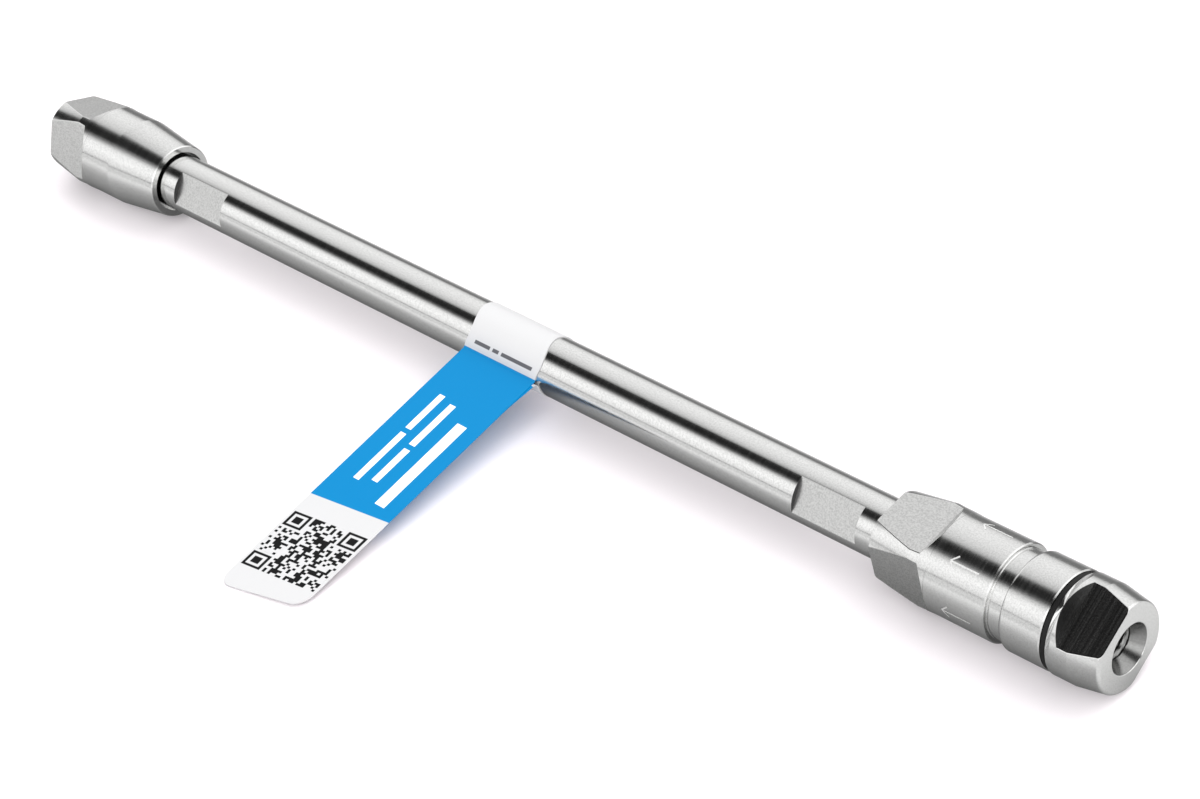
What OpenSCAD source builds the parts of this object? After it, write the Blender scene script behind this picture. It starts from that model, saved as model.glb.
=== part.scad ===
// Analytical chromatography column with a screw-in guard cartridge holder.
//
// A packed tube is held between two end nuts. The guard body screws into the inlet nut and
// holds a small cartridge, and the guard cap closes it and carries the inlet port.
// Lengths are in millimetres and angles in degrees. The column's axis is X and +Z is up.
// The origin is on that axis where the thread of the inlet port starts, +X points out of
// the inlet port, and x falls in the direction of the flow.

/* [Tube and bed] */
// Outside diameter of the tube
tube_d = 7.94; // [7.2:0.01:8.6]
// Bore of the tube, which the packed bed fills
bore_d = 4.6; // [3:0.1:5.2]
// Length of the tube
tube_l = 150; // [100:1:250]
// Length of tube that each end nut covers
engage_l = 8.3; // [7:0.1:10]
// Distance across the two wrench flats at each end of the tube
tube_flat_af = 6.4; // [6:0.1:7]
// Length of those flats along the tube
tube_flat_l = 10; // [6:0.5:14]
// Distance from an end nut to the tube's flats
tube_flat_gap = 3.4; // [2:0.1:6]
// Turn of the tube's flats about the axis, from level
tube_flat_turn = 51; // [0:1:90]

/* [End nuts] */
// Diameter of the barrel of both end nuts
nut_d = 12.7; // [12.4:0.1:14]
// Distance across each pair of a nut's four wrench flats
square_af = 10; // [9.5:0.1:11]
// Diameter of both nuts at their small end
small_end_d = 11.3; // [10.8:0.1:11.8]
// Diameter that each nut's end cone swells to, which only the corners between its flats reach
swell_d = 13.1; // [12.8:0.1:13.4]
// Length of that cone
cone_l = 6.2; // [5:0.1:7]
// Length over which the swelling falls to the barrel
fall_l = 3.2; // [2:0.1:5]
// Length of the wrench flats, which run out in the barrel at 45 degrees
square_l = 7.65; // [6:0.05:9]
// Radial clearance between the tube's ends and the nuts that screw onto them
tube_clear = 0.03; // [0.01:0.01:0.05]
// Diameter of the relief at each nut's mouth, round the tube
relief_d = 8.74; // [8.7:0.01:9.2]
// Depth of that relief
relief_l = 2.4; // [1:0.1:4]

/* [Inlet nut] */
// Diameter of the neck that meets the guard body
neck_d = 11.6; // [11.2:0.1:12]
// Length of the neck
neck_l = 2; // [1:0.1:3]
// Thickness of the wall between the guard cartridge and the tube
web_t = 1.5; // [1:0.1:2.5]

/* [Outlet nut] */
// Length of the taper from the mouth to the barrel
taper_l = 8.65; // [6:0.05:10]
// Diameter of the rim at the mouth
rim_d = 10.6; // [10:0.1:11.4]
// Turn of this nut's flats about the axis, from level
outlet_flat_turn = 62.7; // [0:0.1:90]
// Depth of thread in the outlet port
outlet_thread_l = 7; // [5:0.1:9]
// Thickness of the wall between the port's pocket and the frit
outlet_wall = 2.1; // [1:0.1:3]

/* [Ports] */
// Minor diameter of the ports' 10-32 thread
port_d = 4; // [3.8:0.05:4.2]
// Diameter of the countersink at a port's mouth
mouth_d = 6.6; // [6:0.1:7.4]
// Depth of that countersink
mouth_l = 2.4; // [1.5:0.1:3]
// Length of the cone that a fitting's ferrule seals on
seat_l = 1.2; // [0.8:0.1:1.4]
// Diameter of the pocket that the connecting capillary stands in
pocket_d = 1.6; // [1.5:0.05:2]
// Depth of that pocket
pocket_l = 1; // [0.5:0.1:1.5]
// Diameter of the drilled flow passages
passage_d = 0.5; // [0.3:0.05:0.8]

/* [Guard body] */
// Diameter of the collar
collar_d = 12.76; // [12.4:0.02:13]
// Length of the collar
collar_l = 6; // [5:0.1:8]
// Radius of the collar's rounded edge
collar_round = 0.6; // [0.2:0.1:1]
// Diameter of the spigot that screws into the inlet nut
spigot_d = 9.5; // [9.2:0.1:9.8]
// Bore that holds the guard cartridge
guard_bore_d = 7.6; // [7:0.1:8]
// Radial clearance of the guard body's thread in the nut
guard_clear = 0.05; // [0.02:0.01:0.1]
// Gap between the end of the spigot and the nut's web
spigot_gap = 2; // [1:0.1:3]

/* [Guard cap] */
// Largest diameter of the cap
cap_d = 12.9; // [12.7:0.1:13.4]
// Length of the cap outside the guard body
cap_l = 7.2; // [6:0.1:9]
// Length of the cap's full-diameter part
cap_straight_l = 3.15; // [2:0.05:4]
// Diameter at which the cap's cone meets its rounded nose
cap_nose_d = 11.7; // [11.4:0.1:12]
// Radius of the rounded edge between the cone and the end face
cap_round = 0.5; // [0.2:0.05:0.8]
// Distance across the cap's two milled wrench flats
cap_flat_af = 9.53; // [9:0.01:10]
// Radius of the milled end of those flats
cap_cutter_r = 10; // [8:0.1:14]
// Distance from the cap's shoulder to the milled flats
cap_flat_gap = 0.7; // [0.3:0.1:1.5]
// Turn of the cap's flats about the axis, from level
cap_flat_turn = 23.2; // [0:0.1:90]
// Diameter of the cap's threaded spigot
cap_spigot_d = 9.9; // [9:0.1:10.2]
// Length of that spigot inside the guard body
cap_spigot_l = 3.5; // [3:0.1:5]
// Radial clearance of the cap's thread in the guard body
cap_clear = 0.05; // [0.02:0.01:0.1]
// Thickness of the wall between the port's pocket and the spigot's end
cap_wall = 1.4; // [1:0.1:2]

/* [Sealing ring] */
// Width of the squeezed ring between the guard body and the cap
ring_w = 0.8; // [0.5:0.05:1.2]
// Outside diameter of the squeezed ring
ring_d = 12.5; // [12:0.1:12.6]
// Radius of the ring's outer edges
ring_round = 0.3; // [0.1:0.05:0.4]

/* [Guard cartridge] */
// Length of the cartridge with its two frits
cartridge_l = 10; // [5:0.5:12]
// Outside diameter of the cartridge's tube
cartridge_d = 7.5; // [6.5:0.1:7.5]
// Bore of the cartridge's tube
cartridge_bore_d = 3.9; // [3:0.1:4.6]
// Thickness of each of its frits
guard_frit_t = 1; // [0.5:0.1:1.5]
// Thickness of the sealing washer on each side of the cartridge
washer_t = 0.5; // [0.3:0.1:1]
// Hole in those washers
washer_bore_d = 2; // [1:0.1:3]
// Diameter of the washer under the cap
cap_washer_d = 9.6; // [8:0.1:9.9]

/* [Column frits] */
// Thickness of the frit at each end of the tube
frit_t = 1.6; // [1:0.1:2.5]
// Diameter of those frits
frit_d = 6; // [5.4:0.1:6.6]

/* [Label] */
// Width of the strip of film folded round the tube
label_w = 13.8; // [8:0.1:20]
// Thickness of the film
label_t = 0.12; // [0.08:0.01:0.2]
// Length of the flag that its two stuck ends form, out from the tube's axis
flag_l = 45.7; // [25:0.1:60]
// Distance from the outlet nut's mouth to the middle of the flag
label_gap = 66.3; // [20:0.1:100]
// Offset along the tube from the flag to the wrap, which is stuck on a little askew
label_skew = 1.65; // [0:0.05:3]
// Slant of the flag's cut end
label_slant = 12.6; // [0:0.1:15]
// Radius of the flag's free corners
label_corner_r = 2; // [1:0.1:4]
// Angle below the horizontal at which the flag leaves the tube
flag_root = 50; // [40:1:60]

/* [Hidden] */

$fn = 96;
edge_break = 0.15;              // small bevel on a turned edge
over = 1;                       // how far a cut runs past the face that it opens in

// Places along the axis, from the inlet towards the outlet
x_face = mouth_l;                                               // inlet end face
x_cap = x_face - cap_l;                                         // shoulder of the cap
x_ring = x_cap - ring_w;                                        // end face of the guard body
x_spigot = x_ring - cap_spigot_l;                               // end of the cap's spigot
x_collar = x_ring - collar_l;                                   // joint of guard body and nut
x_neck = x_collar - neck_l;                                     // shoulder of the inlet nut
x_cartridge = x_spigot - washer_t;                              // inlet end of the cartridge
x_cartridge_end = x_cartridge - cartridge_l;                    // its outlet end
x_web = x_cartridge_end - washer_t;                             // inlet side of the nut's web
x_web_back = x_web - web_t;                                     // tube side of the web
x_tube = x_web_back - frit_t;                                   // inlet end of the tube
x_inlet_end = x_tube - engage_l;                                // tube side of the inlet nut
x_tube_end = x_tube - tube_l;                                   // outlet end of the tube
x_rim = x_tube_end + engage_l;                                  // mouth of the outlet nut
x_floor = x_tube_end - frit_t;                                  // outlet side of the last frit
port_end_l = seat_l + pocket_l;                                 // what lies beyond a port's thread
x_outlet_port = x_floor - outlet_wall - port_end_l - outlet_thread_l;   // start of its thread
x_outlet_end = x_outlet_port - mouth_l;                         // outlet end face

// Depth of thread in the inlet port, which ends short of the spigot's end
inlet_thread_l = -x_spigot - cap_wall - port_end_l;

// The floor is where the widest turned piece touches it
floor_z = -max(cap_d, nut_d, collar_d) / 2;
x_label = x_rim + label_gap;

// A solid turned about the column's axis from an outline of [radius, x] points
module turned(outline) {
    rotate([0, 90, 0]) rotate_extrude() polygon(outline);
}

// A rod on the axis from x0 up to x1
module rod(d, x0, x1) {
    translate([x0, 0, 0]) rotate([0, 90, 0]) cylinder(d = d, h = x1 - x0);
}

// A cone on the axis, of diameter d0 at x0 and d1 at x1
module cone(d0, d1, x0, x1) {
    translate([x0, 0, 0]) rotate([0, 90, 0]) cylinder(d1 = d0, d2 = d1, h = x1 - x0);
}

// A flat disc or washer on the axis
module washer(d, hole_d, x0, x1) {
    difference() {
        rod(d, x0, x1);
        rod(hole_d, x0 - over, x1 + over);
    }
}

// The hollow of a port whose thread starts at x = 0 and whose mouth faces +X.
// reach is the depth, from x = 0, to which its flow passage is drilled.
module port(thread_l, reach) {
    cone(port_d, mouth_d, 0, mouth_l);
    rod(mouth_d, mouth_l, mouth_l + over);
    rod(port_d, -thread_l, 0);
    cone(pocket_d, port_d, -thread_l - seat_l, -thread_l);
    rod(pocket_d, -thread_l - port_end_l, -thread_l - seat_l);
    rod(passage_d, -reach - over, -thread_l - port_end_l);
}

// What a milling pass leaves clear on `count` sides of a piece: a block from x0 to x1 whose
// face is af / 2 from the axis, with its end at x1 sloping out by `slope` for each mm of height
module flats(count, af, turn, x0, x1, slope = 0) {
    depth = nut_d / 2;
    for (i = [0 : count - 1])
        rotate([turn + i * 360 / count, 0, 0])
            translate([0, -nut_d, 0])
                rotate([-90, 0, 0])
                    linear_extrude(2 * nut_d)
                        polygon([
                            [x0, -af / 2],
                            [x1, -af / 2],
                            [x1 + slope * depth, -af / 2 - depth],
                            [x0, -af / 2 - depth]
                        ]);
}

// Points of an arc of radius r about [centre radius, centre x], from angle a0 to a1
function arc(centre, r, a0, a1, steps = 6) =
    [for (i = [0 : steps])
        let (a = a0 + (a1 - a0) * i / steps)
        [centre[0] + r * cos(a), centre[1] + r * sin(a)]];

module column_tube() {
    color("silver") difference() {
        rod(tube_d, x_tube_end, x_tube);
        rod(bore_d, x_tube_end - over, x_tube + over);
        for (x0 = [x_inlet_end - tube_flat_gap - tube_flat_l, x_rim + tube_flat_gap])
            flats(2, tube_flat_af, tube_flat_turn, x0, x0 + tube_flat_l);
    }
}

module packed_bed() {
    color("white") rod(bore_d, x_tube_end, x_tube);
}

// Outline points [radius, x] of a nut's end from x0: a cone that swells, then falls to the barrel
function square_end(x0) = [
    [0, x0],
    [small_end_d / 2, x0],
    [swell_d / 2, x0 + cone_l],
    [nut_d / 2, x0 + cone_l + fall_l]
];

// The inlet nut: a square with wrench flats, a barrel, and a neck that meets the guard body.
// One end screws onto the tube and the guard body screws into the other.
module inlet_nut() {
    color("gainsboro") difference() {
        turned(concat(square_end(x_inlet_end), [
            [nut_d / 2, x_neck - edge_break],
            [nut_d / 2 - edge_break, x_neck],
            [neck_d / 2, x_neck],
            [neck_d / 2, x_collar],
            [0, x_collar]
        ]));
        flats(4, square_af, 0, x_inlet_end - over, x_inlet_end + square_l, 1);
        rod(relief_d, x_inlet_end - over, x_inlet_end + relief_l);
        rod(tube_d + 2 * tube_clear, x_inlet_end, x_web_back);
        rod(passage_d, x_web_back - over, x_web + over);
        rod(guard_bore_d, x_web, x_collar);
        rod(spigot_d + 2 * guard_clear, x_web + spigot_gap - guard_clear, x_collar + over);
    }
}

// The outlet nut: it tapers up from its mouth to a barrel, and its square runs to the end face
module outlet_nut() {
    color("gainsboro") difference() {
        turned(concat(square_end(x_outlet_end), [
            [nut_d / 2, x_rim - taper_l],
            [rim_d / 2, x_rim - edge_break],
            [rim_d / 2 - edge_break, x_rim],
            [0, x_rim]
        ]));
        flats(4, square_af, outlet_flat_turn, x_outlet_end - over, x_outlet_end + square_l, 1);
        rod(relief_d, x_rim - relief_l, x_rim + over);
        rod(tube_d + 2 * tube_clear, x_floor, x_rim);
        translate([x_outlet_port, 0, 0]) mirror([1, 0, 0]) port(outlet_thread_l, x_floor - x_outlet_port);
    }
}

// The frit at one end of the tube, and the moulded ring that holds it in the nut
module column_frit(x0) {
    color("darkgray") rod(frit_d, x0, x0 + frit_t);
}

module column_frit_ring(x0) {
    color("beige") washer(tube_d, frit_d, x0, x0 + frit_t);
}

module inlet_frit() column_frit(x_tube);
module inlet_frit_ring() column_frit_ring(x_tube);
module outlet_frit() column_frit(x_floor);
module outlet_frit_ring() column_frit_ring(x_floor);

// The guard body: a collar with a spigot for the nut and a wider thread for the cap
module guard_body() {
    edge_r = collar_d / 2 - collar_round;
    cap_bore_d = cap_spigot_d + 2 * cap_clear;
    color("silver") difference() {
        turned(concat(
            [
                [0, x_web + spigot_gap],
                [spigot_d / 2, x_web + spigot_gap],
                [spigot_d / 2, x_collar]
            ],
            arc([edge_r, x_collar + collar_round], collar_round, -90, 0),
            [
                [collar_d / 2, x_ring - edge_break],
                [collar_d / 2 - edge_break, x_ring],
                [0, x_ring]
            ]
        ));
        rod(guard_bore_d, x_web, x_ring);
        rod(cap_bore_d, x_cartridge, x_ring + over);
    }
}

// The guard cartridge: a short packed tube with a frit pressed into each end
module cartridge_tube() {
    color("gray") washer(cartridge_d, cartridge_bore_d, x_cartridge_end, x_cartridge);
}

module guard_bed() {
    color("white") rod(cartridge_bore_d, x_cartridge_end + guard_frit_t, x_cartridge - guard_frit_t);
}

module guard_inlet_frit() {
    color("darkgray") rod(cartridge_bore_d, x_cartridge - guard_frit_t, x_cartridge);
}

module guard_outlet_frit() {
    color("darkgray") rod(cartridge_bore_d, x_cartridge_end, x_cartridge_end + guard_frit_t);
}

module guard_inlet_washer() {
    color("beige") washer(cap_washer_d, washer_bore_d, x_cartridge, x_spigot);
}

module guard_outlet_washer() {
    color("beige") washer(cartridge_d, washer_bore_d, x_web, x_cartridge_end);
}

// The sealing ring, squeezed between the guard body and the cap
module o_ring() {
    color("dimgray") turned(concat(
        [[cap_spigot_d / 2 + cap_clear, x_ring]],
        arc([ring_d / 2 - ring_round, x_ring + ring_round], ring_round, -90, 0),
        arc([ring_d / 2 - ring_round, x_cap - ring_round], ring_round, 0, 90),
        [[cap_spigot_d / 2 + cap_clear, x_cap]]
    ));
}

// The guard cap: a threaded spigot, a conical head with two milled flats, and the inlet port
module guard_cap() {
    nose_slope = atan((cap_d - cap_nose_d) / 2 / (cap_l - cap_straight_l - cap_round));
    color("silver") difference() {
        turned(concat(
            [
                [0, x_spigot],
                [cap_spigot_d / 2 - edge_break, x_spigot],
                [cap_spigot_d / 2, x_spigot + edge_break],
                [cap_spigot_d / 2, x_cap],
                [cap_d / 2 - edge_break, x_cap],
                [cap_d / 2, x_cap + edge_break],
                [cap_d / 2, x_cap + cap_straight_l]
            ],
            arc([cap_nose_d / 2 - cap_round, x_face - cap_round], cap_round, nose_slope, 90),
            [[0, x_face]]
        ));
        for (side = [0, 180])
            rotate([cap_flat_turn + side, 0, 0])
                translate([x_cap + cap_flat_gap + cap_cutter_r, 0, cap_flat_af / 2])
                    cylinder(r = cap_cutter_r, h = cap_d);
        port(inlet_thread_l, -x_spigot);
    }
}

// Height of the flag's upper face at a distance y from the axis: it sinks to the floor
flag_y = tube_d / 2 * cos(flag_root);
flag_z = -tube_d / 2 * sin(flag_root);
flag_reach = flag_l + label_w / 2 * tan(label_slant);
function flag_height(y) =
    let (u = (y - flag_y) / (flag_reach - flag_y), drop = flag_z - floor_z - 2 * label_t)
    flag_z - drop * (0.45 * u + 0.55 * u * u);

// The label: a strip of film folded round the tube, with its two ends stuck together as a flag
module label() {
    steps = 12;
    ys = [for (i = [0 : steps]) flag_y + (flag_reach - flag_y) * i / steps];
    x_wrap = x_label + label_skew;
    color("dodgerblue") difference() {
        union() {
            rod(tube_d + 2 * label_t, x_wrap - label_w / 2, x_wrap + label_w / 2);
            intersection() {
                translate([x_label - label_w / 2, 0, 0]) rotate([90, 0, 90]) linear_extrude(label_w)
                    polygon(concat(
                        [[0, flag_height(flag_y)]],
                        [for (y = ys) [-y, flag_height(y)]],
                        [for (i = [steps : -1 : 0]) [-ys[i], flag_height(ys[i]) - 2 * label_t]],
                        [[0, flag_height(flag_y) - 2 * label_t]]
                    ));
                translate([x_label, 0, floor_z - over]) linear_extrude(2 * tube_d) flag_outline();
            }
        }
        rod(tube_d, x_label - label_w, x_label + label_w);
    }
}

// The flag seen from above, about the label's middle, with a slanted end and round corners
module flag_outline() {
    half_w = label_w / 2;
    side_w = half_w - label_corner_r;
    slant = tan(label_slant);
    end_y = flag_l - label_corner_r / cos(label_slant);
    polygon([
        [-half_w, 0],
        [half_w, 0],
        [half_w, -end_y + side_w * slant],
        [-half_w, -end_y - side_w * slant]
    ]);
    polygon([
        [-side_w, 0],
        [side_w, 0],
        [side_w + label_corner_r * sin(label_slant), -end_y + side_w * slant - label_corner_r * cos(label_slant)],
        [-side_w + label_corner_r * sin(label_slant), -end_y - side_w * slant - label_corner_r * cos(label_slant)]
    ]);
    for (side = [-1, 1])
        translate([side * side_w, -end_y + side * side_w * slant]) circle(r = label_corner_r);
}

column_tube();
packed_bed();
outlet_nut();
outlet_frit();
outlet_frit_ring();
inlet_nut();
inlet_frit();
inlet_frit_ring();
guard_body();
guard_outlet_washer();
guard_outlet_frit();
guard_bed();
cartridge_tube();
guard_inlet_frit();
guard_inlet_washer();
o_ring();
guard_cap();
label();
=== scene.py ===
# %% [markdown]
# # A chromatography column, dressed for a studio render
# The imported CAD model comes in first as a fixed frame. Everything below is then made round it,
# in the same place and at the same size: turned steel with milled flats, a rubber ring, threads,
# engraved arrows and a folded label. Lengths are written in millimetres and turned to metres
# where a mesh is made.

import math

import bmesh
import bpy
from mathutils import Matrix, Vector


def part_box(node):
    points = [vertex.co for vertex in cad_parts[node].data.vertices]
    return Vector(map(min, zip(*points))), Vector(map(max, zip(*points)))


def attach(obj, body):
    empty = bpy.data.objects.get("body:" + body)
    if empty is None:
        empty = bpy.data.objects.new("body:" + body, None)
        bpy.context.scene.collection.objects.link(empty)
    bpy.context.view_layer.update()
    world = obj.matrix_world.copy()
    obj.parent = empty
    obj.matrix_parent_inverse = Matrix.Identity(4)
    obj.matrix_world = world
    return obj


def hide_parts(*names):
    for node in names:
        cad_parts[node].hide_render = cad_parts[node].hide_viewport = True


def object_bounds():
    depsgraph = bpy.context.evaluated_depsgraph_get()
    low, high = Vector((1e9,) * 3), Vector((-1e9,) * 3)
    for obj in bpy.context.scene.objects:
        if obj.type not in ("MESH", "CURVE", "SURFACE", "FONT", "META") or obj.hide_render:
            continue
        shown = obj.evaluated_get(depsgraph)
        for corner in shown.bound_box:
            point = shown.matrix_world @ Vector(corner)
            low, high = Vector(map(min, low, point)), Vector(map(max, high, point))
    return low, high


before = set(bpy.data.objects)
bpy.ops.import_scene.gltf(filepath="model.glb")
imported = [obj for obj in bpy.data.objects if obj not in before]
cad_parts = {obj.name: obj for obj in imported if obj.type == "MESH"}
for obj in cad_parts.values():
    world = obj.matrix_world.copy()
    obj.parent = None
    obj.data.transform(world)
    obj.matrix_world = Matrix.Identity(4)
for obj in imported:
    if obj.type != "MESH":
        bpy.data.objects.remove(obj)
cad_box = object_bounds()
MM = 0.001

# %% [markdown]
# ## Colours and nodes
# Colours are easiest to judge as sRGB hex values, but shaders work in linear light, so one
# function converts them. A second function adds any shader or geometry node, sets its
# properties, and links or fills its inputs. It keeps every node tree short to read. Two more
# start an empty material and fill the marks of a ramp.


# %% Helpers for colours and nodes
def colour(hex_code):
    """An sRGB hex colour as linear red, green, blue and alpha."""
    channels = [int(hex_code[i : i + 2], 16) / 255 for i in (1, 3, 5)]
    linear = [c / 12.92 if c <= 0.04045 else ((c + 0.055) / 1.055) ** 2.4 for c in channels]
    return (*linear, 1.0)


def add(tree, kind, inputs=None, **settings):
    """Adds a node of that kind. inputs maps a socket's name or number to a value, an output, or
    a node, which stands for the first output that it has in use."""
    made = tree.nodes.new(kind)
    for name, value in settings.items():
        setattr(made, name, value)
    for socket, value in (inputs or {}).items():
        if isinstance(value, bpy.types.Node):
            value = next(output for output in value.outputs if output.enabled)
        if isinstance(value, bpy.types.NodeSocket):
            tree.links.new(value, made.inputs[socket])
        else:
            made.inputs[socket].default_value = value
    return made


def new_material(name):
    """An empty material and its node tree."""
    material = bpy.data.materials.new(name)
    material.use_nodes = True
    material.node_tree.nodes.clear()
    return material, material.node_tree


def set_greys(ramp, greys):
    """Fills a ramp's marks from (place from 0 to 1, level of grey) in rising order."""
    marks = ramp.color_ramp.elements
    while len(marks) > 1:
        marks.remove(marks[0])
    for number, (at, level) in enumerate(greys):
        mark = marks[0] if number == 0 else marks.new(at)
        mark.position = at
        mark.color = (level, level, level, 1)


print("white is", colour("#FFFFFF"), "and middle grey", [round(c, 3) for c in colour("#808080")])


# %% [markdown]
# ## The camera
# The object lies along X. The camera stands in front of its inlet end, to the right, and looks
# down on it through a long lens, so that the far end shrinks only a little.

# %% Camera
CAMERA_AT = Vector((172.1, -178.8, 282.8)) * MM
CAMERA_RIGHT = Vector((0.7154, 0.6629, -0.2210))
CAMERA_UP = Vector((-0.3548, 0.6171, 0.7024))
SENSOR_MM = 36.0
LENS_MM = 98.475

camera_data = bpy.data.cameras.new("camera")
camera_data.sensor_width = SENSOR_MM
camera_data.lens = LENS_MM
camera = bpy.data.objects.new("camera", camera_data)
bpy.context.scene.collection.objects.link(camera)
back = CAMERA_RIGHT.cross(CAMERA_UP).normalized()
right = CAMERA_UP.cross(back).normalized()
up = back.cross(right)
facing = Matrix((right, up, back)).transposed().to_4x4()
camera.matrix_world = Matrix.Translation(CAMERA_AT) @ facing
bpy.context.scene.camera = camera
bpy.context.scene.view_settings.view_transform = "Standard"
print("camera looks down at", round(math.degrees(math.asin(back.z)), 1), "degrees")

# %% [markdown]
# ## Light and floor
# Polished steel shows what stands round it, so its light and dark bands are a mirror image of
# the studio. Long panels run beside the column, so the world's brightness depends mostly on the
# angle round the column's axis: a broad grey panel behind and overhead, a dark gap, and a white
# panel in front. The far right is a little brighter, and a soft box hangs above the inlet end.
# It does most of the work of lighting the floor, because light from straight above keeps the
# shadow close to the object. Rays that leave a mirror pass it by, as if it were hung out of the
# steel's sight, or it would wash the metal out when it is seen from behind.

# %% Studio
# Angle about the axis from straight up towards the front, in degrees, and the brightness there
PANELS = [
    (-180, 0.20), (-91, 0.32), (-89, 0.36), (-80, 0.60), (-68, 0.68), (-56, 0.69), (-44, 0.66),
    (-32, 0.62), (-20, 0.54), (-10, 0.42), (-3, 0.05), (4, 0.01), (18, 0.01), (25, 0.08),
    (33, 0.50), (38, 0.72), (52, 0.80), (64, 0.70), (74, 0.62), (75, 0.22), (77, 0.22),
    (78.5, 0.56), (90, 0.50), (180, 0.20),
]
PANEL_STRENGTH = 1.75    # brightness of a panel of level 1
RIGHT_BOOST = 1.35       # how much brighter the panels are beyond the inlet end
RIGHT_SIDE = (-0.35, 0.2)              # x of a direction, where that starts and where it is full
OVERHEAD = 2.4           # brightness of the box that hangs above the inlet end
BOX_SIDE = (-0.15, 0.12)               # x of a direction, from the box's dim edge to its full light
BOX_TOP = (0.5, 0.8)                   # z of a direction, the same

world = bpy.data.worlds.new("studio")
bpy.context.scene.world = world
world.use_nodes = True
sky = world.node_tree
sky.nodes.clear()
view = add(sky, "ShaderNodeTexCoord").outputs["Generated"]
towards = add(sky, "ShaderNodeSeparateXYZ", {0: view})
x, y, z = (towards.outputs[axis] for axis in "XYZ")
front = add(sky, "ShaderNodeMath", {0: y, 1: -1.0}, operation="MULTIPLY")
angle = add(sky, "ShaderNodeMath", {0: front, 1: z}, operation="ARCTAN2")
round_axis = add(sky, "ShaderNodeMapRange", {0: angle, 1: -math.pi, 2: math.pi})
panels = add(sky, "ShaderNodeValToRGB", {0: round_axis})
set_greys(panels, [(degrees / 360 + 0.5, level) for degrees, level in PANELS])
smooth = {"interpolation_type": "SMOOTHSTEP"}
boost = add(sky, "ShaderNodeMapRange", {
    0: x, 1: RIGHT_SIDE[0], 2: RIGHT_SIDE[1], 3: PANEL_STRENGTH, 4: PANEL_STRENGTH * RIGHT_BOOST,
}, **smooth)
box_side = add(sky, "ShaderNodeMapRange", {0: x, 1: BOX_SIDE[0], 2: BOX_SIDE[1]}, **smooth)
box_top = add(sky, "ShaderNodeMapRange", {
    0: z, 1: BOX_TOP[0], 2: BOX_TOP[1], 4: OVERHEAD,
}, **smooth)
glossy_ray = add(sky, "ShaderNodeLightPath").outputs["Is Glossy Ray"]
matt_ray = add(sky, "ShaderNodeMath", {0: 1.0, 1: glossy_ray}, operation="SUBTRACT")
box_level = add(sky, "ShaderNodeMath", {0: box_top, 1: matt_ray}, operation="MULTIPLY")
overhead = add(sky, "ShaderNodeMath", {0: box_side, 1: box_level}, operation="MULTIPLY")
panel_light = add(sky, "ShaderNodeVectorMath", {0: panels, 3: boost}, operation="SCALE")
all_light = add(sky, "ShaderNodeVectorMath", {0: panel_light, 1: overhead}, operation="ADD")
glow = add(sky, "ShaderNodeBackground", {"Color": all_light, "Strength": 1.0})
add(sky, "ShaderNodeOutputWorld", {"Surface": glow})
print("studio:", len(PANELS), "steps of brightness round the axis")

# %% [markdown]
# The floor is a plain board. It only has to take the soft shadow, so a large flat mesh at the
# lowest point of the object is enough.

# %% Floor
FLOOR_SIZE = 4000.0      # mm
floor_z = cad_box[0][2]
floor_mesh = bpy.data.meshes.new("floor")
half = FLOOR_SIZE / 2 * MM
corners = ((-half, -half), (half, -half), (half, half), (-half, half))
floor_mesh.from_pydata([(x, y, floor_z) for x, y in corners], [], [(0, 1, 2, 3)])
floor = bpy.data.objects.new("floor", floor_mesh)
bpy.context.scene.collection.objects.link(floor)
print("floor at", round(floor_z / MM, 2), "mm")

# %% [markdown]
# The board is pale and matt. Bright metal mirrors the floor, and a white floor would wash out
# its lower half, so in a studio dark cards are laid beside a shiny object, just out of view. Here
# the floor itself is the card: rays that come from a mirror see it greyer beside the column, with
# a painted shadow that is darkest close to it, and every other ray sees it pale.

# %% The floor's board
# Distance from the axis in mm, negative in front, and how light the card and its painted shadow are
# there
CARD_AND_PAINTED_SHADOW = [
    (-160, 0.70), (-60, 0.62), (-37, 0.50), (-16, 0.32), (-8, 0.26), (-4, 0.20), (2, 0.18),
    (6, 0.45), (10, 0.55), (14, 0.46), (18, 0.38), (24, 0.25), (32, 0.16), (60, 0.14), (160, 0.16),
]
CARD_SHADOW_REACH = 160.0       # mm, from the axis to the card's edge
CARD_SHADOW_END = 0.62          # how light the card is beyond the column's inlet
CARD_SHADOW_END_SPAN = (-2.0, 10.0)           # mm along the axis, where it turns so light
BOARD_SHADE = "#F3EEF1"

board, tree = new_material("matt_board_mirror_shadow")
spot = add(tree, "ShaderNodeSeparateXYZ", {0: add(tree, "ShaderNodeTexCoord").outputs["Object"]})
card_shadow_edge = CARD_SHADOW_REACH * MM
across = add(tree, "ShaderNodeMapRange", {0: spot.outputs["Y"], 1: -card_shadow_edge, 2: card_shadow_edge})
card_and_shadow = add(tree, "ShaderNodeValToRGB", {0: across})
set_greys(card_and_shadow, [(distance / (2 * CARD_SHADOW_REACH) + 0.5, level) for distance, level in CARD_AND_PAINTED_SHADOW])
low, high = (x * MM for x in CARD_SHADOW_END_SPAN)
beyond = add(tree, "ShaderNodeMapRange", {0: spot.outputs["X"], 1: low, 2: high}, **smooth)
shade = add(tree, "ShaderNodeMix", {
    0: beyond, 6: card_and_shadow, 7: (CARD_SHADOW_END, CARD_SHADOW_END, CARD_SHADOW_END, 1.0),
}, data_type="RGBA")
# Painted shadow: only rays from a mirror see the floor darkened beside the column.
mirror_ray = add(tree, "ShaderNodeLightPath").outputs["Is Glossy Ray"]
seen = add(tree, "ShaderNodeMix", {
    0: mirror_ray, 6: colour(BOARD_SHADE), 7: shade,
}, data_type="RGBA")
shader = add(tree, "ShaderNodeBsdfPrincipled", {
    "Base Color": seen, "Roughness": 0.9, "Specular IOR Level": 0.0,
})
add(tree, "ShaderNodeOutputMaterial", {"Surface": shader})
floor_mesh.materials.append(board)
print("floor wears", board.name, "in", BOARD_SHADE)
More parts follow.
